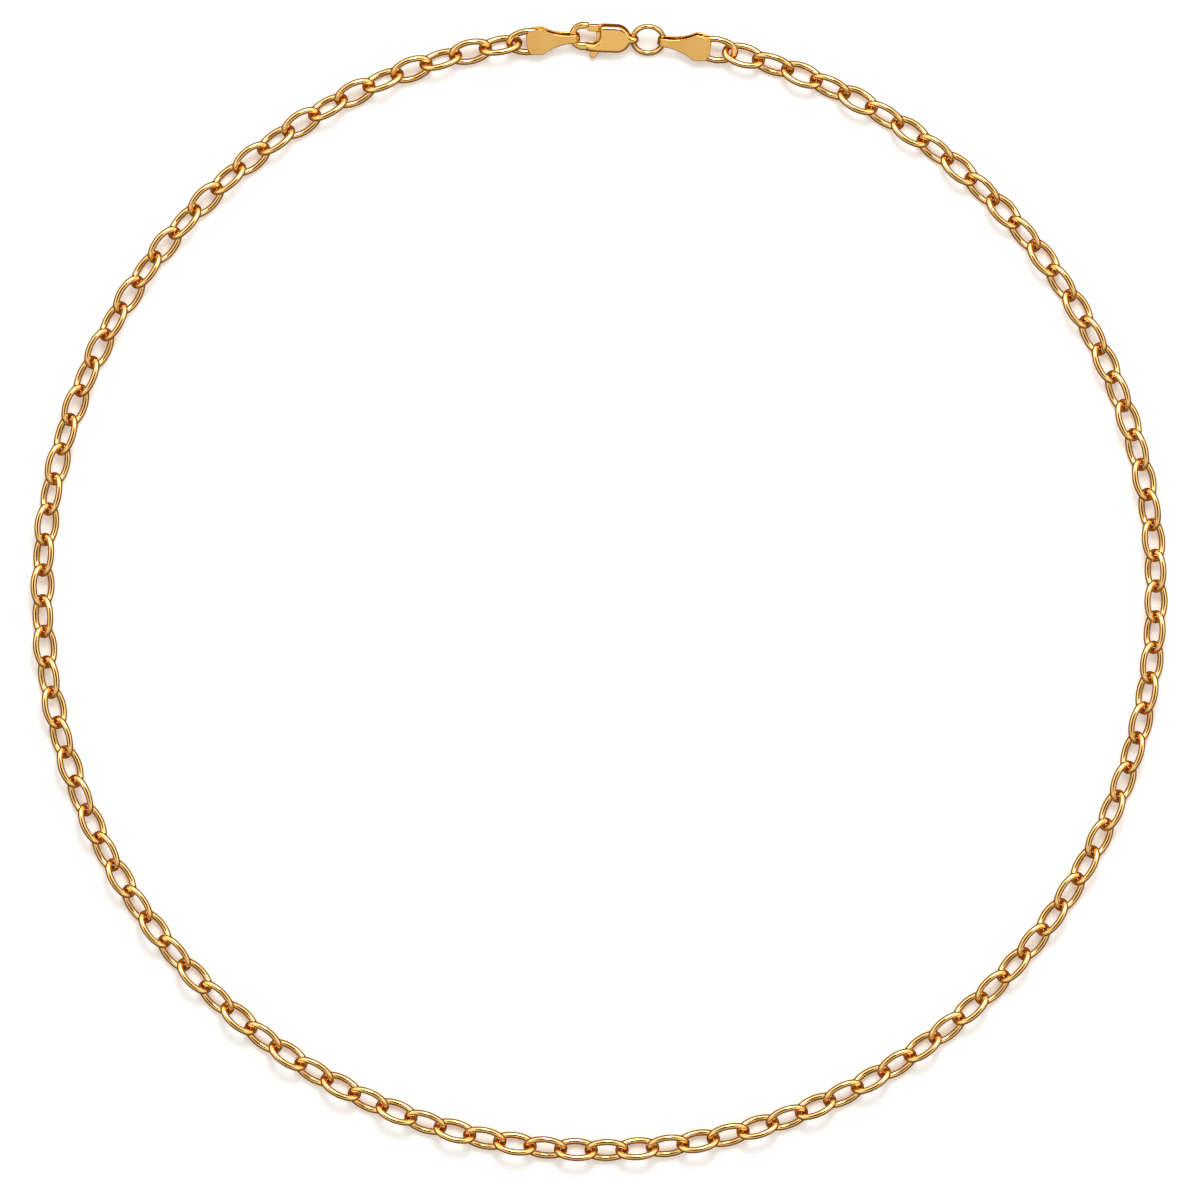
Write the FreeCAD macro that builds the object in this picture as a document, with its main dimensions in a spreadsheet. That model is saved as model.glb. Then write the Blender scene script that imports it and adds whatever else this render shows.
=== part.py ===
import FreeCAD, Part
import math
import os

import Sketcher
from FreeCAD import Placement, Rotation, Vector

# A fine chain necklace lying closed on a flat surface: 109 oval links of polished round wire,
# a fold-over end tag at each end of the chain, a lobster claw clasp and a jump ring.
#
# Frame: origin at the middle of the ring that the chain lies in, on the surface it rests on.
# +Y points to the clasp, +X to the right, +Z up.  Millimetres and degrees.

SIZES = [
    # alias, value, what it is
    ("wire_diameter", 0.82, "round wire of the chain links"),
    ("link_length", 5.76, "outside length of a link"),
    ("link_width", 3.70, "outside width of a link"),
    ("link_end_radius", 1.10, "centreline radius of a link's rounded ends"),
    ("link_pitch", 4.00, "chain length that each link adds"),
    ("pitches_around", 114, "pitches in the full circle, clasp group included"),
    ("clasp_pitches", 7, "pitches that the clasp group takes up"),
    ("links_per_run", 2, "neighbouring links that move as one run"),
    ("link_lean", 42.0, "lean of the front links, in turn with the outer and the inner side up"),
    ("link_twist", 0.17, "slow twist of the chain, from each link to the next"),
    ("axis_height", 1.54, "height of the chain's own axis above the surface"),
    ("group_y", 72.35, "distance from the origin to the clasp's axis"),
    ("tag_length", 7.00, "end tag, from its fold to its wide end"),
    ("tag_leaf", 0.30, "sheet thickness of the end tag"),
    ("tag_neck_half", 0.50, "half width of the tag at its fold"),
    ("tag_wide_half", 1.80, "half width of the tag at its widest"),
    ("tag_end_half", 1.62, "half width of the tag at its wide end"),
    ("tag_fold_radius", 0.58, "inside radius of the tag's fold"),
    ("tag_gap_half", 0.42, "half of the gap that the soldered link sits in"),
    ("end_link_play", 0.32, "how much nearer an end link sits to its neighbour than a pitch"),
    ("tag_roll", 22, "roll of the end tags about their length, outer edge up"),
    ("hook_fold_x", -5.56, "where the fold of the hook side's tag ends"),
    ("ring_fold_x", 4.58, "where the fold of the ring side's tag ends"),
    ("ring_wire", 0.70, "wire of the jump ring"),
    ("ring_radius", 2.00, "centreline radius of the jump ring"),
    ("ring_x", 3.34, "middle of the jump ring"),
    ("ring_roll", 32, "roll of the jump ring, outer side up"),
    ("ring_sweep", 358.5, "turn that the bent jump ring covers, its joint left open"),
    ("clasp_roll", 20, "roll of the clasp, outer edge up"),
    ("body_thickness", 1.80, "clasp body"),
    ("body_half", 1.80, "half width of the clasp body"),
    ("body_round", 0.42, "rounding of the clasp body's rims"),
    ("claw_thickness", 0.80, "claw of the clasp"),
    ("claw_round", 0.24, "rounding of the claw's rims"),
    ("claw_radius", 1.90, "outside radius of the claw"),
    ("eye_height", 1.15, "hole that the jump ring passes through, across the clasp"),
    ("eye_length", 0.90, "hole that the jump ring passes through, along the clasp"),
    ("eye_half", 0.46, "half width of the strap around that hole"),
    ("eye_end", 2.10, "outer end of the eye"),
    ("eye_strap", 0.32, "metal left around the hole"),
    ("pivot_x", -2.40, "lever pivot"),
    ("pivot_y", 0.60, "lever pivot"),
    ("slot_width", 0.60, "slot in the body for the lever"),
    ("lever_thickness", 0.50, "lever blade"),
    ("gate_thickness", 0.76, "gate end of the lever"),
    ("lever_hub", 0.75, "radius of the lever around its pivot"),
    ("gate_radius", 2.28, "reach of the gate from the pivot"),
    ("tip_gap", 0.10, "gap between the gate and the claw's tip"),
    ("rivet_radius", 0.30, "rivet that the lever turns on"),
    ("rivet_length", 1.50, "rivet, pressed in from the back"),
    ("rivet_running_gap", 0.03, "gap around the rivet in the lever"),
    ("rivet_seat_gap", 0.01, "gap around the rivet in the body"),
    ("spring_thickness", 0.08, "leaf spring behind the lever"),
    ("spring_width", 0.44, "leaf spring behind the lever"),
]

os.makedirs("parts", exist_ok=True)
doc = FreeCAD.newDocument("chain_necklace")
sheet = doc.addObject("Spreadsheet::Sheet", "sizes")
for row, (alias, value, meaning) in enumerate(SIZES, start=1):
    sheet.set(f"A{row}", meaning)
    sheet.set(f"B{row}", str(value))
    sheet.setAlias(f"B{row}", alias)
doc.recompute()


def size(alias):
    return float(sheet.get(alias))


# ---------------------------------------------------------------- helpers for sketches


def origin_plane(body, role):
    for feature in body.Origin.OriginFeatures:
        if feature.Role == role:
            return feature
    raise ValueError(f"no plane {role}")


def new_body(name):
    body = doc.addObject("PartDesign::Body", name)
    body.Label = name
    return body


def new_sketch(body, role, name):
    sketch = body.newObject("Sketcher::SketchObject", name)
    sketch.AttachmentSupport = [(origin_plane(body, role), "")]
    sketch.MapMode = "FlatFace"
    return sketch


def draw_outline(sketch, corners):
    """Closed outline through corners (x, y, radius), each rounded by a tangent arc."""
    points = [Vector(x, y, 0) for x, y, _ in corners]
    arcs = []
    for index, (x, y, radius) in enumerate(corners):
        corner = points[index]
        to_last = (points[index - 1] - corner).normalize()
        to_next = (points[(index + 1) % len(points)] - corner).normalize()
        half_angle = to_last.getAngle(to_next) / 2
        setback = radius / math.tan(half_angle)
        depth = radius / math.sin(half_angle) - radius
        middle = corner + (to_last + to_next).normalize() * depth
        arcs.append((corner + to_last * setback, middle, corner + to_next * setback, radius))
    for index, (first, middle, last, radius) in enumerate(arcs):
        if radius > 0:
            sketch.addGeometry(Part.Arc(first, middle, last), False)
        start_of_next = arcs[(index + 1) % len(arcs)][0]
        if (start_of_next - last).Length > 1e-6:
            sketch.addGeometry(Part.LineSegment(last, start_of_next), False)


def draw_circle(sketch, centre, radius):
    """Circle whose radius is an expression in the sheet's cells."""
    sketch.addGeometry(Part.Circle(Vector(*centre, 0), Vector(0, 0, 1), 1), False)
    sketch.addConstraint(Sketcher.Constraint("Radius", 0, 1))
    sketch.renameConstraint(0, "radius")
    sketch.setExpression("Constraints.radius", radius)


def pad(body, name, sketch, thickness):
    """Pad both ways from the sketch; thickness is an expression in the sheet's cells."""
    feature = body.newObject("PartDesign::Pad", name)
    feature.Profile = sketch
    feature.Midplane = True
    feature.setExpression("Length", thickness)
    doc.recompute()
    return feature


def pocket(body, name, sketch, depth, both_ways=True, downward=False):
    """Pocket that has to take metal away, or the build stops."""
    before = body.Shape.Volume
    feature = body.newObject("PartDesign::Pocket", name)
    feature.Profile = sketch
    feature.Midplane = both_ways
    feature.Reversed = downward
    feature.setExpression("Length", depth)
    doc.recompute()
    if body.Shape.Volume > before - 1e-4:
        raise ValueError(f"{name} cuts nothing")
    return feature


def round_edges(body, name, base, radius, wanted):
    """Fillet the edges of base for which wanted(edge) is true."""
    names = [f"Edge{i}" for i, edge in enumerate(base.Shape.Edges, start=1) if wanted(edge)]
    feature = body.newObject("PartDesign::Fillet", name)
    feature.Base = (base, names)
    feature.setExpression("Radius", radius)
    doc.recompute()
    return feature


def edge_lies_at(edge, height):
    box = edge.BoundBox
    return abs(box.ZMin - height) < 1e-5 and abs(box.ZMax - height) < 1e-5


# ---------------------------------------------------------------- one chain link


def oval_arcs(half_length, half_width, end_radius):
    """Radius, centre offset and half angle of the four tangent arcs of an oval."""
    side_radius = (half_length**2 + half_width**2 - 2 * half_length * end_radius) / (
        2 * (half_width - end_radius)
    )
    end_centre = half_length - end_radius
    side_centre = half_width - side_radius
    end_half_angle = math.atan2(-side_centre, end_centre)
    return side_radius, end_centre, side_centre, end_half_angle


def make_link_body():
    """A link at the origin: its length along X, its width along Y."""
    half_length = (size("link_length") - size("wire_diameter")) / 2
    half_width = (size("link_width") - size("wire_diameter")) / 2
    end_radius = size("link_end_radius")
    side_radius, end_centre, side_centre, turn = oval_arcs(half_length, half_width, end_radius)
    quarter = math.pi / 2
    up = Vector(0, 0, 1)

    body = new_body("link")
    path = new_sketch(body, "XY_Plane", "link_centreline")
    upper = Part.Circle(Vector(0, side_centre, 0), up, side_radius)
    lower = Part.Circle(Vector(0, -side_centre, 0), up, side_radius)
    right = Part.Circle(Vector(end_centre, 0, 0), up, end_radius)
    left = Part.Circle(Vector(-end_centre, 0, 0), up, end_radius)
    for circle, first, last in (
        (upper, quarter, math.pi - turn),
        (left, math.pi - turn, math.pi + turn),
        (lower, math.pi + turn, 2 * math.pi - turn),
        (right, -turn, turn),
        (upper, turn, quarter),
    ):
        path.addGeometry(Part.ArcOfCircle(circle, first, last), False)

    section = new_sketch(body, "YZ_Plane", "link_wire_section")
    draw_circle(section, (half_width, 0), "sizes.wire_diameter / 2")

    pipe = body.newObject("PartDesign::AdditivePipe", "link_wire")
    pipe.Profile = section
    pipe.Spine = path
    doc.recompute()
    return body


# ---------------------------------------------------------------- where the links lie


def link_turn():
    """Angle that the chain turns by from one link to the next."""
    return 360 / size("pitches_around")


def corner_radius():
    """Distance from the origin to the points where neighbouring links touch."""
    return size("link_pitch") / 2 / math.sin(math.radians(link_turn() / 2))


def ring_point(pitches, radius):
    """Point on the chain's circle, counted in pitches from the front, positive to the right."""
    angle = math.radians(pitches * link_turn())
    return Vector(radius * math.sin(angle), -radius * math.cos(angle), size("axis_height"))


def contact_frame(pitches):
    return Placement(
        ring_point(pitches, corner_radius()), Rotation(Vector(0, 0, 1), pitches * link_turn())
    )


def link_lean(number):
    """Turn of a link about its own length: even links have their outer side up."""
    lean = size("link_lean") if number % 2 else -size("link_lean")
    return lean - size("link_twist") * number


def link_frame(number):
    """Place of a chain link. Number 0 is the front link, and 53 and -53 are the last ones."""
    centre_radius = corner_radius() * math.cos(math.radians(link_turn() / 2))
    heading = Rotation(Vector(0, 0, 1), number * link_turn())
    lean = Rotation(Vector(1, 0, 0), link_lean(number))
    return Placement(ring_point(number, centre_radius), heading.multiply(lean))


def make_run(name, numbers, frame, link_shape):
    """Neighbouring links as one node of separate solids, drawn in the run's own frame."""
    links = []
    for number in numbers:
        link = link_shape.copy()
        link.Placement = frame.inverse().multiply(link_frame(number))
        links.append(link)
    run = doc.addObject("Part::Feature", name)
    run.Label = name
    run.Shape = Part.makeCompound(links)
    run.Placement = frame
    return run


def make_chain(link_shape):
    """The front run, then runs of two links up each side to the end tags."""
    links_in_front = int(size("clasp_pitches"))
    per_run = int(size("links_per_run"))
    half_front = links_in_front // 2
    all_free_links = int(size("pitches_around")) - links_in_front
    last = all_free_links // 2
    runs_per_side = (last - half_front) // per_run

    front_numbers = range(-half_front, half_front + 1)
    runs = [make_run("chain_front", front_numbers, link_frame(0), link_shape)]
    for side, sign in (("right", 1), ("left", -1)):
        for index in range(runs_per_side):
            first = half_front + 1 + index * per_run
            numbers = [sign * (first + step) for step in range(per_run)]
            frame = contact_frame(sign * (first - 0.5))
            runs.append(make_run(f"chain_{side}_{index + 1:02d}", numbers, frame, link_shape))
    return runs


# ---------------------------------------------------------------- end tags


def tag_frame(fold_x):
    """Frame of an end tag: X runs from its fold towards the chain's last contact point."""
    fold = Vector(fold_x, size("group_y"), size("axis_height"))
    pitches = (size("pitches_around") - size("clasp_pitches")) / 2
    contact = ring_point(math.copysign(pitches, fold_x), corner_radius())
    along = contact - fold
    heading = Rotation(Vector(0, 0, 1), math.degrees(math.atan2(along.y, along.x)))
    outer_edge_up = math.copysign(size("tag_roll"), fold_x)
    frame = Placement(fold, heading.multiply(Rotation(Vector(1, 0, 0), outer_edge_up)))
    return frame, along.Length


def make_tag(name, fold_x):
    """Strip folded over the clasp or the ring, its two leaves soldered around the end link."""
    length = size("tag_length")
    leaf = size("tag_leaf")
    fold_in = size("tag_fold_radius")
    fold_out = fold_in + leaf
    gap = size("tag_gap_half")
    taper_end = 0.47 * length

    fold_profile = doc.addObject("Sketcher::SketchObject", name + "_side_view")
    fold_profile.Placement = Placement(Vector(), Rotation(Vector(1, 0, 0), 90))
    nearly_round = 0.001
    round_outside = fold_out - nearly_round
    round_inside = fold_in - nearly_round
    neck_end = fold_out + 0.3
    draw_outline(
        fold_profile,
        [
            (0, fold_out, round_outside),
            (0, -fold_out, round_outside),
            (neck_end, -fold_out, 0.2),
            (taper_end, -gap - leaf, 1.0),
            (length, -gap - leaf, 0),
            (length, -gap, 0),
            (taper_end, -gap, 1.0),
            (neck_end, -fold_in, 0.2),
            (leaf, -fold_in, round_inside),
            (leaf, fold_in, round_inside),
            (neck_end, fold_in, 0.2),
            (taper_end, gap, 1.0),
            (length, gap, 0),
            (length, gap + leaf, 0),
            (taper_end, gap + leaf, 1.0),
            (neck_end, fold_out, 0.2),
        ],
    )
    strip = doc.addObject("Part::Extrusion", name + "_folded_strip")
    strip.Base = fold_profile
    strip.DirMode = "Normal"
    strip.Solid = True
    strip.Symmetric = True
    strip.setExpression("LengthFwd", "4 * sizes.tag_wide_half")

    neck = size("tag_neck_half")
    wide = size("tag_wide_half")
    end = size("tag_end_half")
    outline = doc.addObject("Sketcher::SketchObject", name + "_plan_view")
    edge = [
        (-leaf, neck, 0),
        (0.45 * length, neck + 0.16, 0.90 * length),
        (0.705 * length, wide, 0.25),
        (0.945 * length, end, 0.12),
    ]
    tip = [(1.06 * length, 0, 0.45 * length)]
    other_edge = [(x, -y, radius) for x, y, radius in reversed(edge)]
    draw_outline(outline, edge + tip + other_edge)
    plate = doc.addObject("Part::Extrusion", name + "_plate")
    plate.Base = outline
    plate.DirMode = "Normal"
    plate.Solid = True
    plate.Symmetric = True
    plate.setExpression("LengthFwd", "4 * sizes.tag_fold_radius")

    tag = doc.addObject("Part::Common", name)
    tag.Label = name
    tag.Base = strip
    tag.Tool = plate
    tag.Placement = tag_frame(fold_x)[0]
    return tag


def make_end_link(name, fold_x, link_shape):
    """The chain's last link, lying between the leaves of its tag."""
    frame, to_contact = tag_frame(fold_x)
    to_middle = to_contact - size("link_pitch") / 2 + size("end_link_play")
    inside = Placement(Vector(to_middle, 0, 0), Rotation())
    link = doc.addObject("Part::Feature", name)
    link.Label = name
    link.Shape = link_shape.copy()
    link.Placement = frame.multiply(inside)
    return link


# ---------------------------------------------------------------- jump ring


def make_jump_ring():
    """Bent wire ring, its open joint hidden in the fold of the tag."""
    ring = doc.addObject("Part::Torus", "jump_ring")
    ring.Label = "jump_ring"
    ring.setExpression("Radius1", "sizes.ring_radius")
    ring.setExpression("Radius2", "sizes.ring_wire / 2")
    ring.setExpression("Angle3", "sizes.ring_sweep")
    centre = Vector(size("ring_x"), size("group_y"), size("axis_height"))
    ring.Placement = Placement(centre, Rotation(Vector(1, 0, 0), size("ring_roll")))
    return ring


# ---------------------------------------------------------------- lobster claw clasp


def clasp_frame():
    origin = Vector(0, size("group_y"), size("axis_height"))
    return Placement(origin, Rotation(Vector(1, 0, 0), size("clasp_roll")))


def on_pivot_arc(radius, y):
    """Point at a height y on a circle about the lever's pivot, on the claw's side."""
    reach = math.sqrt(radius**2 - (y - size("pivot_y")) ** 2)
    return (size("pivot_x") - reach, y)


def claw_outline(sketch):
    """Claw from its root in the body, round its outside to the tip and back along its inside."""
    radius = size("claw_radius")
    left = -6.95
    low = -1.75
    top = low + 2 * radius
    root = -3.60
    wire = 0.95
    inner_low = low + wire + 0.05
    inner_top = top - wire + 0.05
    tip_radius = size("gate_radius") + size("tip_gap")
    draw_outline(
        sketch,
        [
            (root, low, 0),
            (left, low, radius - 0.03),
            (left, top, radius - 0.03),
            (*on_pivot_arc(tip_radius, top), 0.27),
            (*on_pivot_arc(tip_radius, inner_top), 0.27),
            (left + wire, inner_top, 0.60),
            (left + wire, inner_low, 0.42),
            (root, inner_low, 0),
        ],
    )


def body_outline(sketch):
    """Clasp body: a rounded shield with the eye at its right end and the claw's root at its left."""
    half = size("body_half")
    eye = size("eye_half")
    end = size("eye_end")
    face_left = -3.00
    root_left = -4.84
    root_top = -0.75
    shoulder = 0.33
    neck = 1.02
    draw_outline(
        sketch,
        [
            (face_left, half, 0.46),
            (face_left, root_top, 1.00),
            (root_left, root_top, 0.50),
            (root_left, -half, 0.50),
            (shoulder, -half, 1.80),
            (neck, -eye, 0.50),
            (end, -eye, 0),
            (end, eye, 0),
            (neck, eye, 0.50),
            (shoulder, half, 1.80),
        ],
    )


def slot_outline(sketch):
    """Room for the lever: open to the mouth, and along the lower edge for the thumb tab."""
    outside = size("body_half") + 0.60
    mouth = -3.60
    root_cut = -4.50
    lower_lip = -1.65
    back_wall = -1.20
    roof_start = -2.65
    roof = 1.45
    draw_outline(
        sketch,
        [
            (root_cut, -outside, 0),
            (lower_lip, -outside, 0),
            (lower_lip, -1.30, 0.15),
            (back_wall, -0.85, 0.15),
            (back_wall, roof, 0.35),
            (roof_start, roof, 0),
            (roof_start, outside, 0),
            (mouth, outside, 0),
            (mouth, -0.55, 0),
            (root_cut, -0.55, 0),
        ],
    )


def make_clasp_body():
    body = new_body("clasp_body")
    thickness = size("body_thickness")
    claw = size("claw_thickness")

    claw_sketch = new_sketch(body, "XY_Plane", "claw_outline")
    claw_outline(claw_sketch)
    claw_pad = pad(body, "claw", claw_sketch, "sizes.claw_thickness")
    round_edges(
        body,
        "claw_rims",
        claw_pad,
        "sizes.claw_round",
        lambda edge: edge_lies_at(edge, claw / 2) or edge_lies_at(edge, -claw / 2),
    )

    plates = new_sketch(body, "XY_Plane", "body_outline")
    body_outline(plates)
    shell = pad(body, "body_plates", plates, "sizes.body_thickness")
    eye_end = round_edges(
        body,
        "eye_end_round",
        shell,
        "sizes.body_thickness / 2 - 0.12",
        lambda edge: (
            abs(edge.BoundBox.XMin - size("eye_end")) < 1e-4 and edge.BoundBox.ZLength < 1e-4
        ),
    )
    round_edges(
        body,
        "body_rims",
        eye_end,
        "sizes.body_round",
        lambda edge: edge_lies_at(edge, thickness / 2) or edge_lies_at(edge, -thickness / 2),
    )

    slot = new_sketch(body, "XY_Plane", "lever_slot_outline")
    slot_outline(slot)
    pocket(body, "lever_slot", slot, "sizes.slot_width")

    eye = new_sketch(body, "XZ_Plane", "eye_outline")
    eye_right = size("eye_end") - size("eye_strap")
    eye_left = eye_right - size("eye_length")
    eye_top = size("eye_height") / 2
    eye_corner = 0.44
    draw_outline(
        eye,
        [
            (eye_left, eye_top, eye_corner),
            (eye_left, -eye_top, eye_corner),
            (eye_right, -eye_top, eye_corner),
            (eye_right, eye_top, eye_corner),
        ],
    )
    pocket(body, "eye", eye, "2 * sizes.body_half")

    seat = new_sketch(body, "XY_Plane", "rivet_seat_outline")
    seat.AttachmentOffset = Placement(Vector(0, 0, -thickness / 2), Rotation())
    pivot = (size("pivot_x"), size("pivot_y"))
    draw_circle(seat, pivot, "sizes.rivet_radius + sizes.rivet_seat_gap")
    pocket(body, "rivet_seat", seat, "sizes.rivet_length + 0.02", both_ways=False, downward=True)
    body.Placement = clasp_frame()
    return body


def gate_end():
    """Corners of the gate that closes the mouth, from its upper to its lower edge."""
    gate = size("gate_radius")
    return [
        (*on_pivot_arc(gate, 1.76), 0.05),
        (*on_pivot_arc(gate, 1.40), 0.40),
        (*on_pivot_arc(gate, 0.92), 0.14),
    ]


def lever_outline(sketch):
    """Lever blade: gate at the upper left, hub, heel for the spring, thumb tab at the bottom."""
    hub = size("lever_hub")
    pivot_x = size("pivot_x")
    pivot_y = size("pivot_y")
    draw_outline(
        sketch,
        gate_end()
        + [
            (-3.40, 0.86, 0.34),
            (-3.40, -0.80, 0.60),
            (-4.12, -1.55, 0.25),
            (-4.16, -2.84, 0.30),
            (-3.52, -2.74, 0.20),
            (-2.95, -1.85, 0.30),
            (-1.80, -0.38, 0.08),
            (pivot_x + hub + 0.02, pivot_y, 0.40),
            (pivot_x + hub, pivot_y + hub + 0.02, 0.60),
            (-2.80, pivot_y + hub + 0.04, 0.10),
            (-2.86, 1.76, 0.05),
        ],
    )


def make_clasp_lever():
    body = new_body("clasp_lever")
    blade = new_sketch(body, "XY_Plane", "lever_outline")
    lever_outline(blade)
    pad(body, "lever_blade", blade, "sizes.lever_thickness")

    gate = new_sketch(body, "XY_Plane", "gate_outline")
    draw_outline(gate, gate_end() + [(-3.12, 0.88, 0), (-3.12, 1.76, 0)])
    pad(body, "gate", gate, "sizes.gate_thickness")

    bore = new_sketch(body, "XY_Plane", "lever_bore_outline")
    pivot = (size("pivot_x"), size("pivot_y"))
    draw_circle(bore, pivot, "sizes.rivet_radius + sizes.rivet_running_gap")
    pocket(body, "lever_bore", bore, "2 * sizes.lever_thickness")
    body.Placement = clasp_frame()
    return body


def make_clasp_rivet():
    rivet = doc.addObject("Part::Cylinder", "clasp_rivet")
    rivet.Label = "clasp_rivet"
    rivet.setExpression("Radius", "sizes.rivet_radius")
    rivet.setExpression("Height", "sizes.rivet_length")
    back_face = Vector(size("pivot_x"), size("pivot_y"), -size("body_thickness") / 2)
    rivet.Placement = clasp_frame().multiply(Placement(back_face, Rotation()))
    return rivet


def make_clasp_spring():
    """Hairpin leaf: one leg along the back wall of the slot, the other on the lever's heel."""
    body = new_body("clasp_spring")
    leaf = size("spring_thickness")
    wall_x = -1.22
    bend_y = 0.98
    free_x = -1.56
    tip = (-1.835, -0.50)
    sketch = new_sketch(body, "XY_Plane", "spring_outline")
    draw_outline(
        sketch,
        [
            (wall_x, -0.80, 0),
            (wall_x, bend_y, 0.16),
            (free_x, bend_y, 0.16),
            (*tip, 0),
            (tip[0] + leaf, tip[1], 0),
            (free_x + leaf, bend_y - leaf, 0.08),
            (wall_x - leaf, bend_y - leaf, 0.08),
            (wall_x - leaf, -0.80, 0),
        ],
    )
    pad(body, "spring_leaf", sketch, "sizes.spring_width")
    body.Placement = clasp_frame()
    return body


# ---------------------------------------------------------------- assembly and export

link = make_link_body()
link_shape = link.Shape
nodes = make_chain(link_shape)
nodes.append(make_tag("tag_hook_side", size("hook_fold_x")))
nodes.append(make_end_link("end_link_hook_side", size("hook_fold_x"), link_shape))
nodes.append(make_tag("tag_ring_side", size("ring_fold_x")))
nodes.append(make_end_link("end_link_ring_side", size("ring_fold_x"), link_shape))
nodes.append(make_jump_ring())
nodes.append(make_clasp_body())
nodes.append(make_clasp_lever())
nodes.append(make_clasp_rivet())
nodes.append(make_clasp_spring())
doc.recompute()

for item in doc.Objects:
    if "Invalid" in item.State or "Error" in item.State:
        raise ValueError(f"{item.Name} failed: {item.State}")
for node in nodes:
    if node.Shape.isNull() or not node.Shape.isValid():
        raise ValueError(f"{node.Label} has no valid shape")
    if not all(solid.isClosed() for solid in node.Shape.Solids) or not node.Shape.Solids:
        raise ValueError(f"{node.Label} is not closed")
for node in nodes:
    node.Shape.exportStep(f"parts/{node.Label}.step")
print(f"{len(nodes)} nodes, {sum(len(node.Shape.Solids) for node in nodes)} solids")
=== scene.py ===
import math

import bpy
import numpy as np
from mathutils import Matrix, Vector


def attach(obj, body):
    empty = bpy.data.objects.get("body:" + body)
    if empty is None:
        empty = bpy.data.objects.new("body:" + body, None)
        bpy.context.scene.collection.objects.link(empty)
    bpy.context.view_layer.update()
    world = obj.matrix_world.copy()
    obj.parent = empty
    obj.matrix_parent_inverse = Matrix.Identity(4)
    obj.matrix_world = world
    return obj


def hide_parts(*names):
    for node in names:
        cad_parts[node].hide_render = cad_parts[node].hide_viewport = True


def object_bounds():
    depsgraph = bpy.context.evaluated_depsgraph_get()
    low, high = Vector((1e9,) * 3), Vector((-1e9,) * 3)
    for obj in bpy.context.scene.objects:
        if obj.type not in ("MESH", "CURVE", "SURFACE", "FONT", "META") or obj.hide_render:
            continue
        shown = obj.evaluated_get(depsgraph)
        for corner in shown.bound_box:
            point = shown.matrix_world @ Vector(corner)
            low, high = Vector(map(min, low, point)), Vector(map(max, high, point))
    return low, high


# A fine gold chain necklace lying closed in a ring, seen from above.
# Shapes are worked out in millimetres and turned into metres when a mesh is made.

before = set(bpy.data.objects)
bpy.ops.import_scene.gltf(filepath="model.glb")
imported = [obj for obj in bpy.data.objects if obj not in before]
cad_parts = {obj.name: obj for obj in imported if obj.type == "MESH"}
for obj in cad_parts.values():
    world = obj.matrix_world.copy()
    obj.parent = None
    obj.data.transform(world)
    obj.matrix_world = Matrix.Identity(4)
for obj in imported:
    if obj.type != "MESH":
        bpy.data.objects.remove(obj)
cad_low, cad_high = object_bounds()
MM = 0.001

# ---------------------------------------------------------------- sizes, as in the CAD part

WIRE_RADIUS = 0.41
LINK_LENGTH = 5.76
LINK_WIDTH = 3.70
LINK_END_RADIUS = 1.10
PITCH = 4.00
PITCHES_AROUND = 114
CLASP_PITCHES = 7
LINKS_PER_RUN = 2
LINK_LEAN = 42
LINK_TWIST = 0.17
AXIS_HEIGHT = 1.54
GROUP_Y = 72.35
END_LINK_PLAY = 0.32

TAG_LENGTH = 7.00
TAG_LEAF = 0.30
TAG_GAP_HALF = 0.42
TAG_FOLD_RADIUS = 0.58
TAG_TAPER_END = 0.47 * TAG_LENGTH
TAG_NECK_HALF = 0.50
TAG_WIDE_HALF = 1.80
TAG_END_HALF = 1.62
TAG_ROLL = 22
FOLD_X = {"hook_side": -5.56, "ring_side": 4.58}

RING_X = 3.34
RING_RADIUS = 2.00
RING_ROLL = 32
RING_SWEEP = 358.5

CLASP_ROLL = 20
PIVOT_X = -2.40
PIVOT_Y = 0.60
BODY_HALF_THICKNESS = 0.90
BODY_HALF = 1.80
BODY_ROUND = 0.42
CLAW_HALF_THICKNESS = 0.40
CLAW_RADIUS = 1.90
CLAW_LEFT = -6.95
CLAW_LOW = -1.75
CLAW_TOP = CLAW_LOW + 2 * CLAW_RADIUS
CLAW_ROOT = -3.60
CLAW_WIRE = 0.95
EYE_HALF_LENGTH = 0.45
EYE_HALF_HEIGHT = 0.575
EYE_CORNER = 0.44
EYE_HALF_WIDTH = 0.46
EYE_END = 2.10
EYE_STRAP = 0.32
SLOT_HALF = 0.30
LEVER_HALF = 0.25
LEVER_HUB = 0.75
GATE_HALF = 0.38
GATE_RADIUS = 2.28
GATE_TOP = 1.76
TIP_GAP = 0.10
RIVET_SEAT_RADIUS = 0.31
RIVET_TOP = 0.62
LEVER_BORE_RADIUS = 0.33

# ---------------------------------------------------------------- sizes of the drawn pieces only

# The ring's wire and the tag's fold are drawn a little thinner than in the CAD part, so that they
# clear each other when the ring rolls.
RING_WIRE_RADIUS = 0.343
FOLD_ROOM = 0.04
TAG_RIM = 0.10
CLAW_ROUND = 0.30
CLAW_BLEND = 0.25
# The body thins towards the claw's root, so that the claw's lower arm grows out of it.
CLAW_ROOT_END = -3.10
CLAW_ROOT_LENGTH = 1.70
CLAW_ROOT_STEP = 0.48
SLOT_RIM = 0.05
SLOT_CORNER = 0.02
EYE_RIM = 0.12
SEAT_RIM = 0.01
LEVER_RIM = 0.08
GATE_RIM = 0.10
GATE_BLEND = 0.05
BORE_RIM = 0.03
# The end of the eye is rounded across its thickness.
EYE_END_ROUND = BODY_HALF_THICKNESS - 0.12
# A corner's radius stays this much below half the width, so that two arcs never overlap.
ARC_GAP = 0.001
# Lower and right bounds of the grid that the lever is drawn from.
LEVER_LOW = -2.90
LEVER_RIGHT = -1.60

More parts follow.
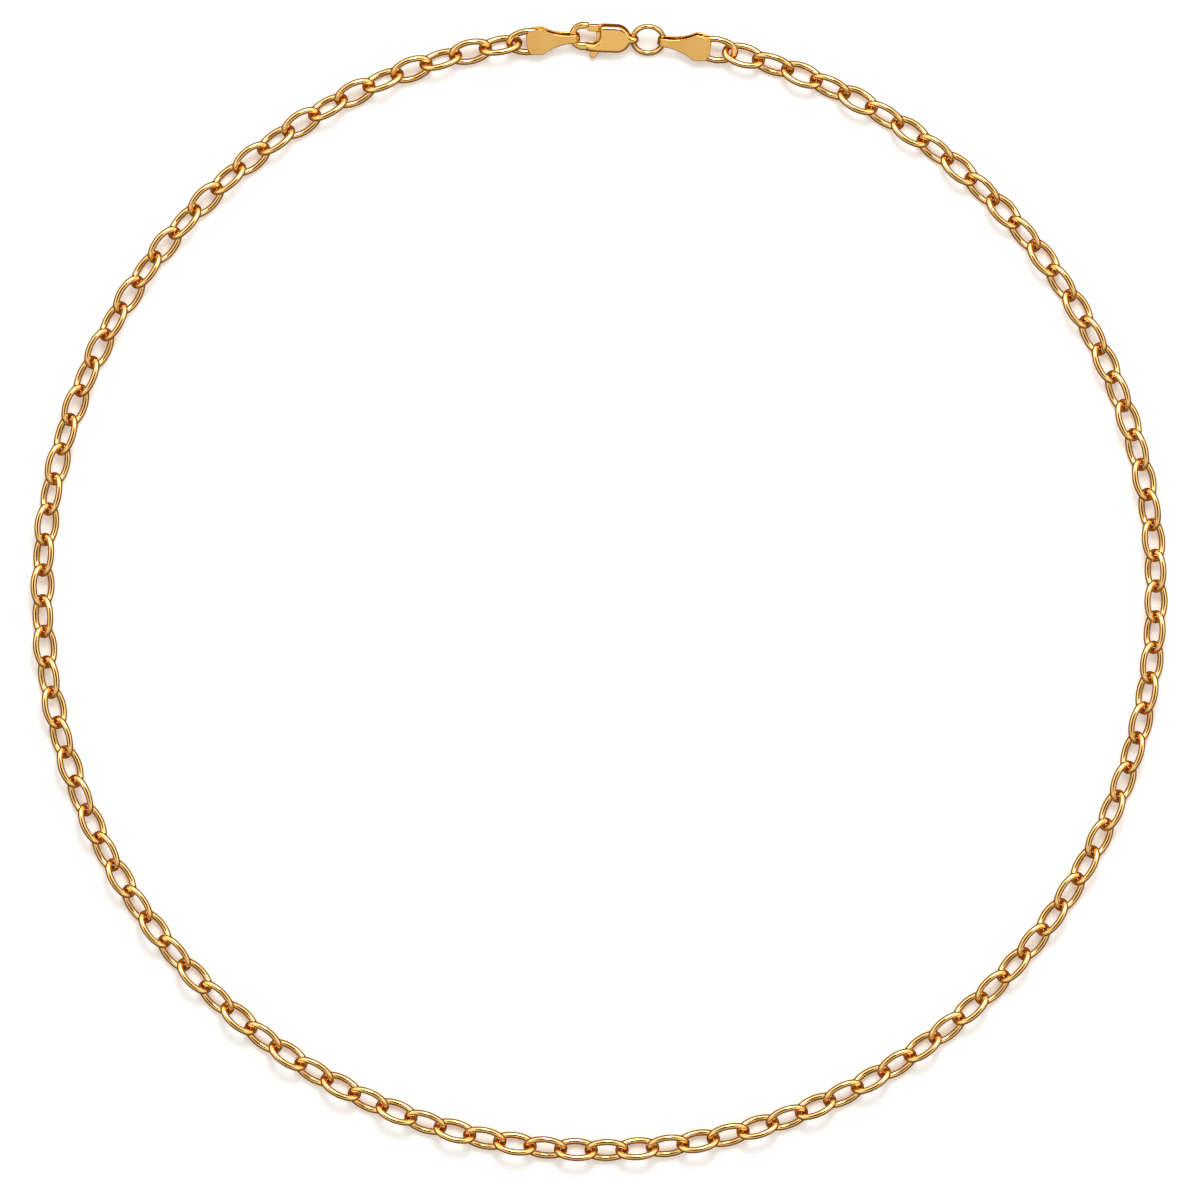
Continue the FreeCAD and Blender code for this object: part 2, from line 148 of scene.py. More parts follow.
# How finely the pieces are drawn: points along and around a wire, and the grid of a solid.
LINK_POINTS = 84
LINK_WIRE_POINTS = 24
RING_POINTS = 200
RING_WIRE_POINTS = 32
PLATE_GRID = 0.055
LEVER_GRID = 0.045
FINE_ARC = 16
MEDIUM_ARC = 12


# ---------------------------------------------------------------- meshes


def turn_x(degrees):
    return Matrix.Rotation(math.radians(degrees), 4, "X")


def turn_z(degrees):
    return Matrix.Rotation(math.radians(degrees), 4, "Z")


def placed(points, place):
    m = np.array(place, float)
    return points @ m[:3, :3].T + m[:3, 3]


def new_piece(name, points, faces, body, material_slot, nodes, normals=None):
    """A smooth mesh from points in millimetres, drawn in place of the CAD nodes."""
    mesh = bpy.data.meshes.new(name)
    mesh.from_pydata((points * MM).tolist(), [], faces)
    mesh.shade_smooth()
    if normals is not None:
        mesh.normals_split_custom_set_from_vertices(normals.tolist())
    piece = bpy.data.objects.new(name, mesh)
    bpy.context.scene.collection.objects.link(piece)
    piece.data.materials.append(MATERIALS[material_slot])
    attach(piece, body)
    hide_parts(*nodes)


def swept_wire(centres, sideways, radius, around, closed=True):
    """Points, faces and normals of round wire whose centreline lies in a plane.

    The sideways vectors lie in that plane, across the wire, and have length one.
    """
    rows = len(centres)
    angle = np.linspace(0, 2 * math.pi, around, endpoint=False)
    up = np.array([0.0, 0.0, 1.0])
    ring = np.cos(angle)[None, :, None] * sideways[:, None, :] + np.sin(angle)[None, :, None] * up
    points = (centres[:, None, :] + radius * ring).reshape(-1, 3)
    normals = ring.reshape(-1, 3)
    last = rows if closed else rows - 1
    i, j = np.meshgrid(np.arange(last), np.arange(around), indexing="ij")
    next_i = (i + 1) % rows
    next_j = (j + 1) % around
    corners = [(i, j), (next_i, j), (next_i, next_j), (i, next_j)]
    faces = np.stack([a * around + b for a, b in corners], axis=-1).reshape(-1, 4)
    return points, faces, normals


# ---------------------------------------------------------------- solids from distances


def rounded_outline(corners, steps=8):
    """Points round a closed outline of corners (x, y, radius), each rounded by a tangent arc."""
    tips = np.array([corner[:2] for corner in corners], float)
    points = []
    for index, (_, _, radius) in enumerate(corners):
        tip = tips[index]
        to_last = tips[index - 1] - tip
        to_next = tips[(index + 1) % len(tips)] - tip
        to_last /= np.linalg.norm(to_last)
        to_next /= np.linalg.norm(to_next)
        if radius == 0:
            points.append(tip)
            continue
        half_angle = math.acos(np.clip(to_last @ to_next, -1, 1)) / 2
        inward = (to_last + to_next) / np.linalg.norm(to_last + to_next)
        centre = tip + inward * radius / math.sin(half_angle)
        setback = radius / math.tan(half_angle)
        first = tip + to_last * setback - centre
        last = tip + to_next * setback - centre
        start = math.atan2(first[1], first[0])
        sweep = math.remainder(math.atan2(last[1], last[0]) - start, 2 * math.pi)
        for angle in start + sweep * np.linspace(0, 1, steps + 1):
            points.append(centre + radius * np.array([math.cos(angle), math.sin(angle)]))
    return np.array(points)


def outline_distance(outline, x, y):
    """Distance to a closed outline, negative inside it."""
    x, y = np.broadcast_arrays(x, y)
    nearest = np.full(x.shape, np.inf)
    inside = np.zeros(x.shape, bool)
    for (ax, ay), (bx, by) in zip(outline, np.roll(outline, -1, axis=0)):
        ex, ey = bx - ax, by - ay
        squared = ex * ex + ey * ey
        if squared < 1e-12:
            continue
        along = np.clip(((x - ax) * ex + (y - ay) * ey) / squared, 0, 1)
        nearest = np.minimum(nearest, (x - ax - ex * along) ** 2 + (y - ay - ey * along) ** 2)
        if ey != 0:
            inside ^= ((ay > y) != (by > y)) & (x < ex * (y - ay) / ey + ax)
    return np.where(inside, -1, 1) * np.sqrt(nearest)


def common(a, b, rim):
    """Where both solids are, with the rim between them rounded."""
    outside = np.hypot(np.maximum(a + rim, 0), np.maximum(b + rim, 0))
    return np.minimum(np.maximum(a, b) + rim, 0) + outside - rim


def joined(a, b, blend):
    """Either solid, with a soft hollow where they meet."""
    share = np.clip(0.5 + 0.5 * (b - a) / blend, 0, 1)
    return b + (a - b) * share - blend * share * (1 - share)


def surface(distance, low, high, step):
    """Points and faces of the surface where distance is zero, one point in each cell it crosses."""
    axes = [np.arange(a - 2 * step, b + 3 * step, step) for a, b in zip(low, high)]
    grid = distance(axes[0][:, None, None], axes[1][None, :, None], axes[2][None, None, :])
    value = np.broadcast_to(grid, [len(axis) for axis in axes])
    cells = np.array(value.shape) - 1
    total = np.zeros((*cells, 3))
    count = np.zeros(cells)
    crossings = []
    for axis in range(3):
        order = (axis, (axis + 1) % 3, (axis + 2) % 3)
        turned = np.transpose(value, order)
        first, last = turned[:-1], turned[1:]
        crosses = (first < 0) != (last < 0)
        part = np.where(crosses, first / np.where(crosses, first - last, 1), 0)
        crossings.append((order, crosses, first < 0))
        turned_total = np.transpose(total, (*order, 3))
        turned_count = np.transpose(count, order)
        for p in (0, 1):
            for q in (0, 1):
                rows = (slice(None), slice(p, p + cells[order[1]]), slice(q, q + cells[order[2]]))
                turned_total[..., order[0]] += part[rows]
                turned_total[..., order[1]] += p * crosses[rows]
                turned_total[..., order[2]] += q * crosses[rows]
                turned_count += crosses[rows]
    used = count > 0
    number = np.full(cells, -1)
    number[used] = np.arange(used.sum())
    corner = np.argwhere(used)
    start = np.array([axis[0] for axis in axes])
    points = start + step * (corner + total[used] / count[used][:, None])
    faces = []
    for order, crosses, outward in crossings:
        turned = np.transpose(number, order)
        i, j, k = np.nonzero(crosses[:, 1:-1, 1:-1])
        quad = np.stack(
            [turned[i, j, k], turned[i, j + 1, k], turned[i, j + 1, k + 1], turned[i, j, k + 1]],
            axis=-1,
        )
        backward = ~outward[:, 1:-1, 1:-1][i, j, k]
        quad[backward] = quad[backward][:, ::-1]
        faces.append(quad)
    return points, np.concatenate(faces)


def solid_piece(name, distance, low, high, step, place, body, material_slot, nodes):
    """Piece drawn as the surface where its distance function is zero."""
    points, faces = surface(distance, low, high, step)
    new_piece(name, placed(points, place), faces.tolist(), body, material_slot, nodes)


# ---------------------------------------------------------------- metal

WIRE_GOLD = (0.97, 0.61, 0.225)
SHEET_GOLD = (0.95, 0.56, 0.165)
GOLD_EDGE = (0.62, 0.40, 0.20)
STEEL = (0.58, 0.57, 0.55)
STEEL_EDGE = (0.5, 0.5, 0.5)
# How much of each colour channel is left where the metal is deeper in colour.
DEEPER = (0.93, 0.86, 0.76)
# Clouds: their colour is deepest where the noise is at most CLOUD_DEEP, and clear from CLOUD_CLEAR.
CLOUDS_PER_METRE = 170
CLOUD_DEEP = 0.30
CLOUD_CLEAR = 0.72
# Roughness varies between these shares of a metal's own.
BEST_POLISH = 0.75
WORST_POLISH = 1.35
# Polishing marks: how dense they are along X, Y and Z, and how deep in metres.
MARKS_PER_METRE = (900, 7000, 7000)
MARK_DEPTH = 0.00002


def polished_metal(name, colour, edge_colour, roughness, relief):
    """Metal with clouds of deeper colour and duller polish, and fine polishing marks along X."""
    material = bpy.data.materials.new(name)
    material.use_nodes = True
    tree = material.node_tree
    shader = tree.nodes["Principled BSDF"]
    shader.inputs["Metallic"].default_value = 1.0
    shader.inputs["Specular Tint"].default_value = (*edge_colour, 1)
    coordinate = tree.nodes.new("ShaderNodeTexCoord")

    cloud = tree.nodes.new("ShaderNodeTexNoise")
    cloud.inputs["Scale"].default_value = CLOUDS_PER_METRE
    cloud.inputs["Detail"].default_value = 2
    tree.links.new(coordinate.outputs["Object"], cloud.inputs["Vector"])

    tint = tree.nodes.new("ShaderNodeValToRGB")
    tint.color_ramp.elements[0].position = CLOUD_DEEP
    tint.color_ramp.elements[0].color = (*[c * share for c, share in zip(colour, DEEPER)], 1)
    tint.color_ramp.elements[1].position = CLOUD_CLEAR
    tint.color_ramp.elements[1].color = (*colour, 1)
    tree.links.new(cloud.outputs["Fac"], tint.inputs["Fac"])
    tree.links.new(tint.outputs["Color"], shader.inputs["Base Color"])

    polish = tree.nodes.new("ShaderNodeMapRange")
    polish.inputs["To Min"].default_value = roughness * BEST_POLISH
    polish.inputs["To Max"].default_value = roughness * WORST_POLISH
    tree.links.new(cloud.outputs["Fac"], polish.inputs["Value"])
    tree.links.new(polish.outputs["Result"], shader.inputs["Roughness"])

    stretch = tree.nodes.new("ShaderNodeMapping")
    stretch.inputs["Scale"].default_value = MARKS_PER_METRE
    marks = tree.nodes.new("ShaderNodeTexNoise")
    marks.inputs["Scale"].default_value = 1
    marks.inputs["Detail"].default_value = 3
    bump = tree.nodes.new("ShaderNodeBump")
    bump.inputs["Strength"].default_value = relief
    bump.inputs["Distance"].default_value = MARK_DEPTH
    tree.links.new(coordinate.outputs["Object"], stretch.inputs["Vector"])
    tree.links.new(stretch.outputs["Vector"], marks.inputs["Vector"])
    tree.links.new(marks.outputs["Fac"], bump.inputs["Height"])
    tree.links.new(bump.outputs["Normal"], shader.inputs["Normal"])
    return material


# Colour, colour at grazing angles, roughness and strength of the polishing marks.
METALS = {
    "chain_gold": (WIRE_GOLD, GOLD_EDGE, 0.10, 0.015),
    "ring_gold": (WIRE_GOLD, GOLD_EDGE, 0.09, 0.015),
    "tag_gold": (SHEET_GOLD, GOLD_EDGE, 0.14, 0.02),
    "clasp_gold": (SHEET_GOLD, GOLD_EDGE, 0.13, 0.02),
    "spring_steel": (STEEL, STEEL_EDGE, 0.30, 0.30),
}
MATERIALS = {slot: polished_metal(slot, *look) for slot, look in METALS.items()}


# ---------------------------------------------------------------- chain links


def oval_centreline(count):
    """Points along a link's four tangent arcs at even spacing, and unit vectors across them."""
    half_length = LINK_LENGTH / 2 - WIRE_RADIUS
    half_width = LINK_WIDTH / 2 - WIRE_RADIUS
    end = LINK_END_RADIUS
    side = (half_length**2 + half_width**2 - 2 * half_length * end) / (2 * (half_width - end))
    end_x = half_length - end
    side_y = half_width - side
    turn = math.atan2(-side_y, end_x)
    arcs = [
        ((end_x, 0), end, -turn, turn),
        ((0, side_y), side, turn, math.pi - turn),
        ((-end_x, 0), end, math.pi - turn, math.pi + turn),
        ((0, -side_y), side, math.pi + turn, 2 * math.pi - turn),
    ]
    lengths = [radius * (last - first) for _, radius, first, last in arcs]
    at = np.arange(count) * sum(lengths) / count
    centres = np.zeros((count, 3))
    across = np.zeros((count, 3))
    start = 0.0
    for ((cx, cy), radius, first, _), length in zip(arcs, lengths):
        here = (at >= start) & (at < start + length)
        angle = first + (at[here] - start) / radius
        across[here] = np.stack([np.cos(angle), np.sin(angle), 0 * angle], axis=-1)
        centres[here] = np.array([cx, cy, 0.0]) + radius * across[here]
        start += length
    return centres, across


LINK = swept_wire(*oval_centreline(LINK_POINTS), WIRE_RADIUS, LINK_WIRE_POINTS)
TURN = 360 / PITCHES_AROUND
CORNER_RADIUS = PITCH / 2 / math.sin(math.radians(TURN / 2))


def ring_point(pitches, radius):
    """Point on the chain's circle, counted in pitches from the front, positive to the right."""
    angle = math.radians(pitches * TURN)
    return Vector((radius * math.sin(angle), -radius * math.cos(angle), AXIS_HEIGHT))


def link_place(number):
    """Place of a chain link. Number 0 is the front link, and they count up to the right."""
    lean = LINK_LEAN if number % 2 else -LINK_LEAN
    centre = ring_point(number, CORNER_RADIUS * math.cos(math.radians(TURN / 2)))
    return Matrix.Translation(centre) @ turn_z(number * TURN) @ turn_x(lean - LINK_TWIST * number)


def tag_place(side):
    """Frame of an end tag: X runs from its fold to the chain's last contact point."""
    fold_x = FOLD_X[side]
    fold = Vector((fold_x, GROUP_Y, AXIS_HEIGHT))
    pitches = (PITCHES_AROUND - CLASP_PITCHES) / 2
    contact = ring_point(math.copysign(pitches, fold_x), CORNER_RADIUS)
    along = contact - fold
    heading = math.degrees(math.atan2(along.y, along.x))
    place = Matrix.Translation(fold) @ turn_z(heading) @ turn_x(math.copysign(TAG_ROLL, fold_x))
    return place, along.length


def make_links(name, places, body, node):
    """One mesh of a link at each place."""
    points, faces, normals = LINK
    count = len(points)
    all_points = np.concatenate([placed(points, place) for place in places])
    rotations = [np.array(place, float)[:3, :3] for place in places]
    all_normals = np.concatenate([normals @ rotation.T for rotation in rotations])
    all_faces = np.concatenate([faces + count * index for index in range(len(places))])
    new_piece(name, all_points, all_faces.tolist(), body, "chain_gold", [node], all_normals)


HALF_FRONT = CLASP_PITCHES // 2
LAST_LINK = (PITCHES_AROUND - CLASP_PITCHES) // 2
RUNS = (LAST_LINK - HALF_FRONT) // LINKS_PER_RUN
front = [link_place(number) for number in range(-HALF_FRONT, HALF_FRONT + 1)]
make_links("links_front", front, "front_run", "chain_front")
for side_name, sign in (("right", 1), ("left", -1)):
    for run in range(RUNS):
        first_link = HALF_FRONT + 1 + run * LINKS_PER_RUN
        places = [link_place(sign * (first_link + step)) for step in range(LINKS_PER_RUN)]
        label = f"{side_name}_{run + 1:02d}"
        make_links(f"links_{label}", places, f"{side_name}_run_{run + 1:02d}", f"chain_{label}")
for side_name, body_name in (("hook_side", "hook_tag"), ("ring_side", "ring_tag")):
    place, to_contact = tag_place(side_name)
    end_place = place @ Matrix.Translation((to_contact - PITCH / 2 + END_LINK_PLAY, 0, 0))
    make_links(f"last_link_{side_name}", [end_place], body_name, f"end_link_{side_name}")


# ---------------------------------------------------------------- end tags


def make_tag(side, body):
    """Strip folded over the clasp or the ring, its two leaves soldered around the end link."""
    fold_out = TAG_FOLD_RADIUS + TAG_LEAF
    fold_in = TAG_FOLD_RADIUS + FOLD_ROOM
    neck_end = fold_out + 0.3
    inner = TAG_GAP_HALF
    outer = TAG_GAP_HALF + TAG_LEAF
    profile = rounded_outline(
        [
            (0, fold_out, fold_out - ARC_GAP),
            (0, -fold_out, fold_out - ARC_GAP),
            (neck_end, -fold_out, 0.2),
            (TAG_TAPER_END, -outer, 1.0),
            (TAG_LENGTH, -outer, 0),
            (TAG_LENGTH, -inner, 0),
            (TAG_TAPER_END, -inner, 1.0),
            (neck_end, -fold_in, 0.2),
            (TAG_LEAF - FOLD_ROOM, -fold_in, fold_in - ARC_GAP),
            (TAG_LEAF - FOLD_ROOM, fold_in, fold_in - ARC_GAP),
            (neck_end, fold_in, 0.2),
            (TAG_TAPER_END, inner, 1.0),
            (TAG_LENGTH, inner, 0),
            (TAG_LENGTH, outer, 0),
            (TAG_TAPER_END, outer, 1.0),
            (neck_end, fold_out, 0.2),
        ],
        MEDIUM_ARC,
    )
    # One edge of the flat shape: place along the tag, half width there, radius of the corner.
    edge = [
        (-TAG_LEAF, TAG_NECK_HALF, 0),
        (0.45 * TAG_LENGTH, TAG_NECK_HALF + 0.16, 0.90 * TAG_LENGTH),
        (0.705 * TAG_LENGTH, TAG_WIDE_HALF, 0.60),
        (0.945 * TAG_LENGTH, TAG_END_HALF, 0.45),
    ]
    tip = [(1.06 * TAG_LENGTH, 0, 0.45 * TAG_LENGTH)]
    other_edge = [(x, -y, radius) for x, y, radius in reversed(edge)]
    plan = rounded_outline(edge + tip + other_edge, FINE_ARC)

    def distance(x, y, z):
        return common(outline_distance(profile, x, z), outline_distance(plan, x, y), TAG_RIM)

    low = (-TAG_LEAF, -TAG_WIDE_HALF, -fold_out)
    high = (TAG_LENGTH, TAG_WIDE_HALF, fold_out)
    place, _ = tag_place(side)
    name = f"folded_tag_{side}"
    nodes = [f"tag_{side}"]
    solid_piece(name, distance, low, high, PLATE_GRID, place, body, "tag_gold", nodes)


make_tag("hook_side", "hook_tag")
make_tag("ring_side", "ring_tag")


# ---------------------------------------------------------------- jump ring


def make_jump_ring():
    """Bent wire ring, its open joint hidden in the fold of the tag."""
    around = RING_WIRE_POINTS
    angle = np.radians(np.linspace(0, RING_SWEEP, RING_POINTS))
    across = np.stack([np.cos(angle), np.sin(angle), 0 * angle], axis=-1)
    points, faces, normals = swept_wire(
        RING_RADIUS * across, across, RING_WIRE_RADIUS, around, closed=False
    )
    last = len(points) - around
    ends = [list(range(around))[::-1], list(range(last, last + around))]
    place = Matrix.Translation((RING_X, GROUP_Y, AXIS_HEIGHT)) @ turn_x(RING_ROLL)
    all_faces = faces.tolist() + ends
    new_piece("bent_ring", placed(points, place), all_faces, "ring", "ring_gold", ["jump_ring"])


make_jump_ring()


# ---------------------------------------------------------------- lobster claw clasp


def on_pivot_arc(radius, y):
    """Point at a height y on a circle about the lever's pivot, on the claw's side."""
    return PIVOT_X - math.sqrt(radius**2 - (y - PIVOT_Y) ** 2), y


def claw_corners():
    """Claw from its root in the body, round its outside to the tip and back along its inside."""
    nearly_round = CLAW_RADIUS - 0.03
    inner_low = CLAW_LOW + CLAW_WIRE + 0.05
    inner_top = CLAW_TOP - CLAW_WIRE + 0.05
    tip_radius = GATE_RADIUS + TIP_GAP
    return [
        (CLAW_ROOT, CLAW_LOW, 0),
        (CLAW_LEFT, CLAW_LOW, nearly_round),
        (CLAW_LEFT, CLAW_TOP, nearly_round),
        (*on_pivot_arc(tip_radius, CLAW_TOP), 0.27),
        (*on_pivot_arc(tip_radius, inner_top), 0.27),
        (CLAW_LEFT + CLAW_WIRE, inner_top, 0.60),
        (CLAW_LEFT + CLAW_WIRE, inner_low, 0.42),
        (CLAW_ROOT, inner_low, 0),
    ]


# Outlines of the clasp's parts as corners (x, y, radius), as in the CAD part.
BODY_CORNERS = [
    (-3.00, BODY_HALF, 0.46),
    (-3.00, -0.75, 1.00),
    (-4.84, -0.75, 0.50),
    (-4.84, -BODY_HALF, 0.50),
    (0.33, -BODY_HALF, 1.80),
    (1.02, -EYE_HALF_WIDTH, 0.50),
    (EYE_END + 1, -EYE_HALF_WIDTH, 0),
    (EYE_END + 1, EYE_HALF_WIDTH, 0),
    (1.02, EYE_HALF_WIDTH, 0.50),
    (0.33, BODY_HALF, 1.80),
]
SLOT_CORNERS = [
    (-4.50, -2.40, 0),
    (-1.65, -2.40, 0),
    (-1.65, -1.30, 0.15),
    (-1.20, -0.85, 0.15),
    (-1.20, 1.45, 0.35),
    (-2.65, 1.45, 0),
    (-2.65, 2.40, 0),
    (-3.60, 2.40, 0),
    (-3.60, -0.55, 0),
    (-4.50, -0.55, 0),
]
GATE_CORNERS = [
    (*on_pivot_arc(GATE_RADIUS, GATE_TOP), 0.05),
    (*on_pivot_arc(GATE_RADIUS, 1.40), 0.40),
    (*on_pivot_arc(GATE_RADIUS, 0.92), 0.14),
]
LEVER_CORNERS = GATE_CORNERS + [
    (-3.40, 0.86, 0.34),
    (-3.40, -0.80, 0.60),
    (-4.12, -1.55, 0.25),
    (-4.16, -2.84, 0.30),
    (-3.52, -2.74, 0.20),
    (-2.95, -1.85, 0.30),
    (-1.80, -0.38, 0.08),
    (PIVOT_X + LEVER_HUB + 0.02, PIVOT_Y, 0.40),
    (PIVOT_X + LEVER_HUB, PIVOT_Y + LEVER_HUB + 0.02, 0.60),
    (-2.80, PIVOT_Y + LEVER_HUB + 0.04, 0.10),
    (-2.86, GATE_TOP, 0.05),
]
GATE_BLOCK_CORNERS = GATE_CORNERS + [(-3.12, 0.88, 0), (-3.12, GATE_TOP, 0)]
CLASP_PLACE = Matrix.Translation((0, GROUP_Y, AXIS_HEIGHT)) @ turn_x(CLASP_ROLL)


def make_clasp_body():
    """Body plates with the claw, cut out for the lever, the jump ring and the rivet."""
    claw = rounded_outline(claw_corners(), FINE_ARC)
    body = rounded_outline(BODY_CORNERS, MEDIUM_ARC)
    slot = rounded_outline(SLOT_CORNERS)
    eye_middle = EYE_END - EYE_STRAP - EYE_HALF_LENGTH
    margin = 0.05

    def distance(x, y, z):
        thinning = np.clip((CLAW_ROOT_END - x) / CLAW_ROOT_LENGTH, 0, 1) ** 2
        half_here = BODY_HALF_THICKNESS - CLAW_ROOT_STEP * thinning
        side = common(x - EYE_END, abs(z) - half_here, EYE_END_ROUND)
        shell = common(outline_distance(body, x, y), side, BODY_ROUND)
        hook = common(outline_distance(claw, x, y), abs(z) - CLAW_HALF_THICKNESS, CLAW_ROUND)
        whole = joined(shell, hook, CLAW_BLEND)
        lever_room = common(outline_distance(slot, x, y), abs(z) - SLOT_HALF, SLOT_CORNER)
        eye_side = abs(x - eye_middle) - EYE_HALF_LENGTH
        eye = common(eye_side, abs(z) - EYE_HALF_HEIGHT, EYE_CORNER)
        from_pivot = np.hypot(x - PIVOT_X, y - PIVOT_Y)
        seat = np.maximum(from_pivot - RIVET_SEAT_RADIUS, z - RIVET_TOP)
        whole = common(whole, -lever_room, SLOT_RIM)
        whole = common(whole, -eye, EYE_RIM)
        return common(whole, -seat, SEAT_RIM)

    low = (CLAW_LEFT, -BODY_HALF - margin, -BODY_HALF_THICKNESS)
    high = (EYE_END, CLAW_TOP + margin, BODY_HALF_THICKNESS)
    name = "claw_and_body"
    nodes = ["clasp_body"]
    solid_piece(name, distance, low, high, PLATE_GRID, CLASP_PLACE, "clasp", "clasp_gold", nodes)


def make_lever():
    """Flat blade with a thicker gate at its end, bored for the rivet."""
    blade = rounded_outline(LEVER_CORNERS)
    gate = rounded_outline(GATE_BLOCK_CORNERS)

    def distance(x, y, z):
        flat = common(outline_distance(blade, x, y), abs(z) - LEVER_HALF, LEVER_RIM)
        block = common(outline_distance(gate, x, y), abs(z) - GATE_HALF, GATE_RIM)
        bore = np.hypot(x - PIVOT_X, y - PIVOT_Y) - LEVER_BORE_RADIUS
        return common(joined(flat, block, GATE_BLEND), -bore, BORE_RIM)

    low = (PIVOT_X - GATE_RADIUS, LEVER_LOW, -GATE_HALF)
    high = (LEVER_RIGHT, BODY_HALF, GATE_HALF)
    name = "gate_and_tab"
    nodes = ["clasp_lever"]
    solid_piece(name, distance, low, high, LEVER_GRID, CLASP_PLACE, "lever", "clasp_gold", nodes)


make_clasp_body()
make_lever()
# These two are drawn by their CAD meshes.
for node, material_slot in (("clasp_rivet", "clasp_gold"), ("clasp_spring", "spring_steel")):
    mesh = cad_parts[node].data
    mesh.materials.clear()
    mesh.materials.append(MATERIALS[material_slot])


# ---------------------------------------------------------------- floor, light and camera

FLOOR_RADIUS = 4.0
FLOOR_COLOUR = (0.95, 0.95, 0.945, 1)
FLOOR_ROUGHNESS = 0.9
# Painted dark reflection: polished metal sees the floor this dark, which gives the wire its brown
# edges.
FLOOR_IN_METAL = (0.20, 0.11, 0.05, 1)
EVEN_LIGHT = 0.92
EVEN_COLOUR = (1.0, 1.0, 0.99, 1)
# The tent that the metal sees: height on the unit sphere, and the light from there. It is dark
# overhead, where the camera is, and the slope makes its far side brighter.
TENT_STRENGTH = 1.74
TENT_SLOPE = 1.20
TENT_BANDS = [
    (0.00, 0.08),
    (0.20, 0.20),
    (0.45, 0.60),
    (0.66, 0.80),
    (0.82, 0.88),
    (0.91, 0.05),
]
KEY_PLACE = (0.05, 0.55, 0.75)
KEY_DIAMETER = 0.40
KEY_WATTS = 4.2
CAMERA_LENS = 450
CAMERA_ROLL = 2.4
# The camera aims this far from the middle of the ring, in metres.
CAMERA_ASIDE = 0.000095
CAMERA_UPWARD = -0.000864
# Width of the picture, in widths of the necklace.
FRAME_WIDTHS = 1.0554


def seen_in_metal(tree):
    """One for what the camera sees mirrored in metal, and zero for all other light."""
    path = tree.nodes.new("ShaderNodeLightPath")
    direct = tree.nodes.new("ShaderNodeMath")
    direct.operation = "LESS_THAN"
    direct.inputs[1].default_value = 0.5
    both = tree.nodes.new("ShaderNodeMath")
    both.operation = "MULTIPLY"
    tree.links.new(path.outputs["Diffuse Depth"], direct.inputs[0])
    tree.links.new(path.outputs["Is Glossy Ray"], both.inputs[0])
    tree.links.new(direct.outputs["Value"], both.inputs[1])
    return both.outputs["Value"]


def make_floor():
    """White surface, which polished metal sees darker than the camera does, as a painted dark
    reflection.
    """
    bpy.ops.mesh.primitive_circle_add(vertices=128, radius=FLOOR_RADIUS, fill_type="NGON")
    floor = bpy.context.object
    floor.name = "floor"
    material = bpy.data.materials.new("floor_white")
    material.use_nodes = True
    tree = material.node_tree
    shader = tree.nodes["Principled BSDF"]
    shader.inputs["Roughness"].default_value = FLOOR_ROUGHNESS
    shader.inputs["Specular IOR Level"].default_value = 0.0
    # Painted dark reflection: where polished metal mirrors the floor, its colour turns from white
    # to FLOOR_IN_METAL.
    colour = tree.nodes.new("ShaderNodeMix")
    colour.data_type = "RGBA"
    colour.inputs["A"].default_value = FLOOR_COLOUR
    colour.inputs["B"].default_value = FLOOR_IN_METAL
    tree.links.new(seen_in_metal(tree), colour.inputs["Factor"])
    tree.links.new(colour.outputs["Result"], shader.inputs["Base Color"])
    floor.data.materials.append(material)


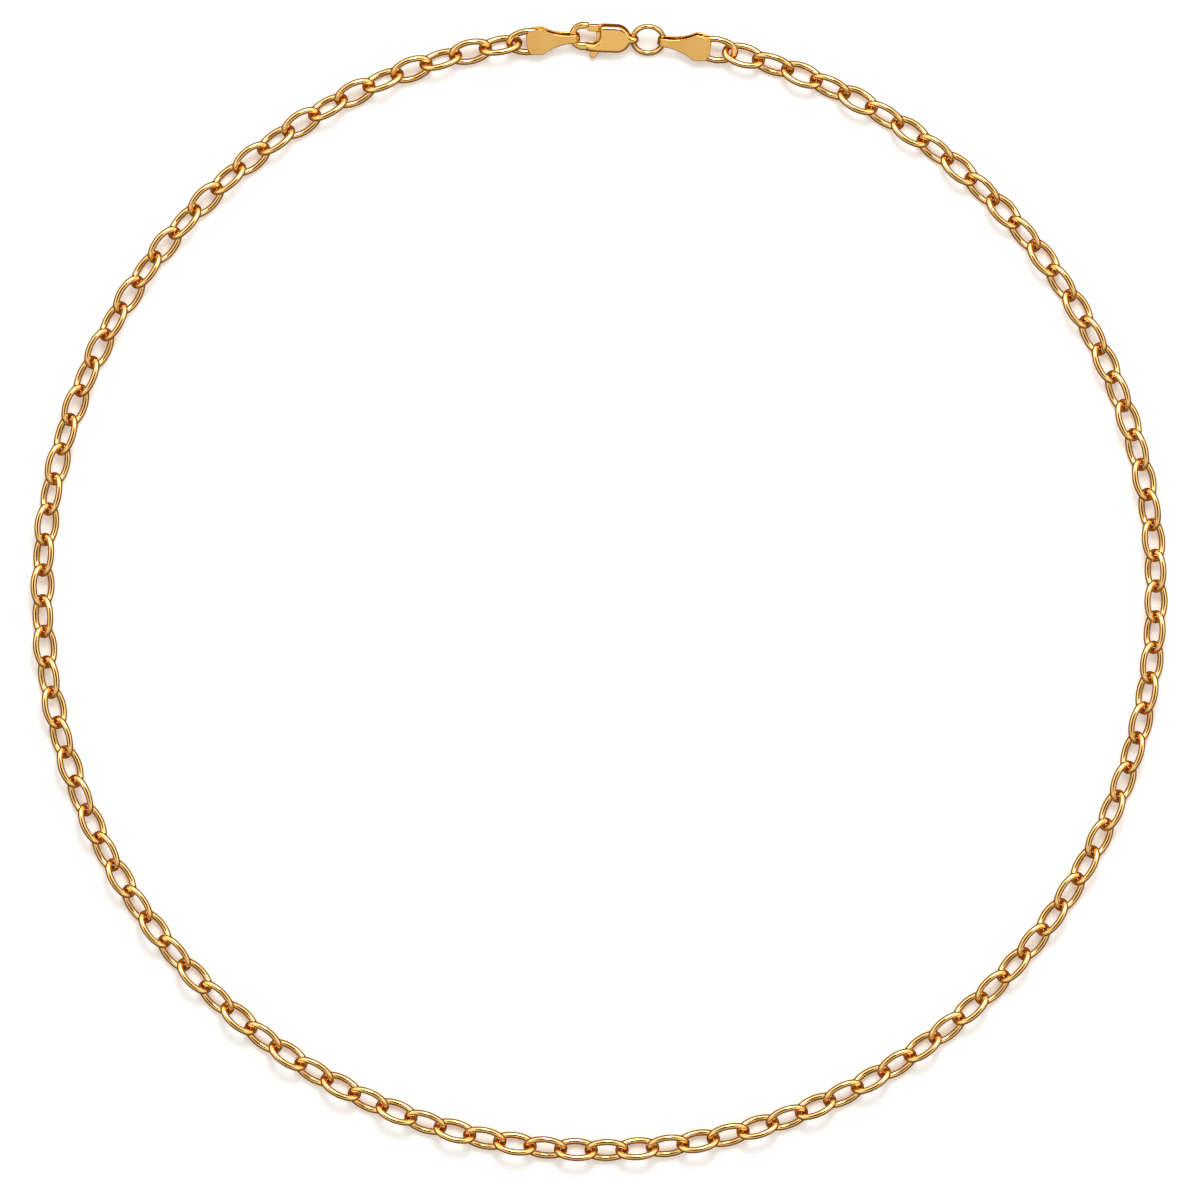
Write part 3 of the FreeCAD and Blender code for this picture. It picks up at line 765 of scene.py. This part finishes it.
def make_world():
    """Soft tent of light. Polished metal sees it in bands of height, the floor sees it even."""
    world = bpy.data.worlds.new("tent")
    bpy.context.scene.world = world
    world.use_nodes = True
    tree = world.node_tree
    output = tree.nodes["World Output"]
    even = tree.nodes["Background"]
    even.inputs["Color"].default_value = EVEN_COLOUR
    even.inputs["Strength"].default_value = EVEN_LIGHT

    coordinate = tree.nodes.new("ShaderNodeTexCoord")
    split = tree.nodes.new("ShaderNodeSeparateXYZ")
    bands = tree.nodes.new("ShaderNodeValToRGB")
    bands.color_ramp.interpolation = "EASE"
    while len(bands.color_ramp.elements) < len(TENT_BANDS):
        bands.color_ramp.elements.new(0.5)
    for element, (height, light) in zip(bands.color_ramp.elements, TENT_BANDS):
        element.position = height
        element.color = (light, light, light, 1)
    tent = tree.nodes.new("ShaderNodeBackground")
    slope = tree.nodes.new("ShaderNodeMath")
    slope.operation = "MULTIPLY_ADD"
    slope.inputs[1].default_value = TENT_SLOPE
    slope.inputs[2].default_value = TENT_STRENGTH
    mix = tree.nodes.new("ShaderNodeMixShader")
    tree.links.new(coordinate.outputs["Generated"], split.inputs["Vector"])
    tree.links.new(split.outputs["Z"], bands.inputs["Fac"])
    tree.links.new(bands.outputs["Color"], tent.inputs["Color"])
    tree.links.new(split.outputs["Y"], slope.inputs[0])
    tree.links.new(slope.outputs["Value"], tent.inputs["Strength"])
    tree.links.new(seen_in_metal(tree), mix.inputs["Fac"])
    tree.links.new(even.outputs["Background"], mix.inputs[1])
    tree.links.new(tent.outputs["Background"], mix.inputs[2])
    tree.links.new(mix.outputs["Shader"], output.inputs["Surface"])


def make_key_light():
    """Round soft light from behind the clasp, which throws the soft shadows to the front."""
    data = bpy.data.lights.new("key", "AREA")
    data.shape = "DISK"
    data.size = KEY_DIAMETER
    data.energy = KEY_WATTS
    light = bpy.data.objects.new("key", data)
    bpy.context.scene.collection.objects.link(light)
    light.location = KEY_PLACE
    light.rotation_euler = (-Vector(KEY_PLACE)).to_track_quat("-Z", "Y").to_euler()
    light.visible_camera = False


def make_camera():
    """Straight above, turned so that the clasp lies a little to the right of the top."""
    data = bpy.data.cameras.new("camera")
    data.lens = CAMERA_LENS
    camera = bpy.data.objects.new("camera", data)
    bpy.context.scene.collection.objects.link(camera)
    width = (cad_high.x - cad_low.x) * FRAME_WIDTHS
    height = AXIS_HEIGHT * MM + width * data.lens / data.sensor_width
    roll = math.radians(CAMERA_ROLL)
    aside = Vector((math.cos(roll), math.sin(roll), 0))
    upward = Vector((-math.sin(roll), math.cos(roll), 0))
    camera.location = aside * CAMERA_ASIDE + upward * CAMERA_UPWARD + Vector((0, 0, height))
    camera.rotation_euler = (0, 0, roll)
    bpy.context.scene.camera = camera


make_floor()
make_world()
make_camera()
make_key_light()
bpy.context.scene.view_settings.view_transform = "Standard"
